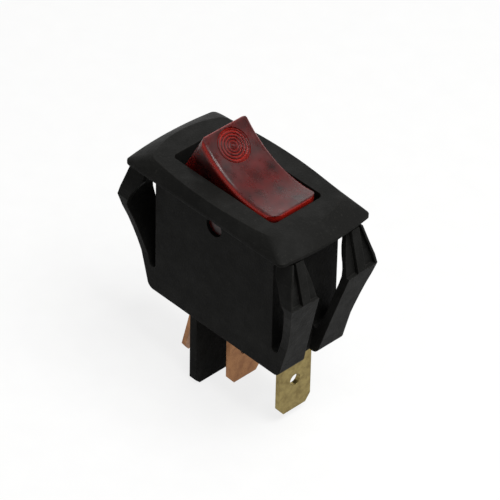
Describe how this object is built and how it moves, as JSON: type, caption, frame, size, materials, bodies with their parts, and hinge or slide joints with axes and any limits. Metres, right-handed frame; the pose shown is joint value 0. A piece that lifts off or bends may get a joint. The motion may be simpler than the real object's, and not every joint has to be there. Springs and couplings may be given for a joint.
{
  "type": "panel rocker switch",
  "caption": "Snap-in panel rocker switch with a lit red rocker, ring lens, bevelled bezel, spring legs and quick-connect tabs; the rocker tips about its pins and works a see-saw contact.",
  "frame": {"origin": "centre of the bezel's underside, the face that seats on the panel", "axes": "+Z out of the panel's front, +X along the long side towards the pressed end and the lamp's tab, +Y to the far long side"},
  "size_m": [0.0368, 0.0176, 0.0443],
  "materials": {
    "black_nylon": "moulded satin",
    "base_black": "moulded matt",
    "red_lens": "translucent polished",
    "plunger_nylon": "moulded satin",
    "spring_wire": "drawn",
    "copper": "rolled, slightly tarnished",
    "blade_copper": "rolled",
    "brass": "rolled, slightly tarnished",
    "contact_silver": "satin",
    "lamp_glass": "clear",
    "lamp_metal": "satin",
    "lead_wire": "tinned",
    "sleeve": "extruded",
    "resistor_paint": "lacquered",
    "cap_metal": "pressed"
  },
  "bodies": {
    "housing": {"housing": "black_nylon", "base": "base_black", "line_terminal": "copper", "load_terminal": "copper", "lamp_terminal": "brass", "fixed_contact": "contact_silver", "lamp_glass": "lamp_glass", "left_electrode": "lamp_metal", "right_electrode": "lamp_metal", "lamp_lead": "lead_wire", "lead_sleeve": "sleeve", "link_lead": "lead_wire", "resistor_body": "resistor_paint", "resistor_lower_cap": "cap_metal", "resistor_upper_cap": "cap_metal", "resistor_lead": "lead_wire"},
    "rocker": {"rocker": "red_lens", "plunger_spring": "spring_wire"},
    "plunger": {"plunger": "plunger_nylon"},
    "blade": {"contact_blade": "blade_copper", "moving_contact": "contact_silver"}
  },
  "joints": [
    {"name": "rocker_tilt", "type": "hinge", "parent": "housing", "child": "rocker", "pos_m": [0, 0, -0.0036], "axis": [0, -1, 0], "range_deg": [0, 28]},
    {"name": "plunger_slide", "type": "slide", "parent": "rocker", "child": "plunger", "axis": [-0.2419, 0, -0.9703], "range_m": [0, 0.0004], "stiffness_N_per_m": 300, "springref_m": 0.0004, "deforming": ["plunger_spring"]},
    {"name": "blade_tilt", "type": "hinge", "parent": "housing", "child": "blade", "pos_m": [0, 0, -0.013], "axis": [0, 1, 0], "range_deg": [0, 16]}
  ],
  "couplings": [
    {"joint": "blade_tilt", "follows": "rocker_tilt", "ratio": 0.57143}
  ]
}
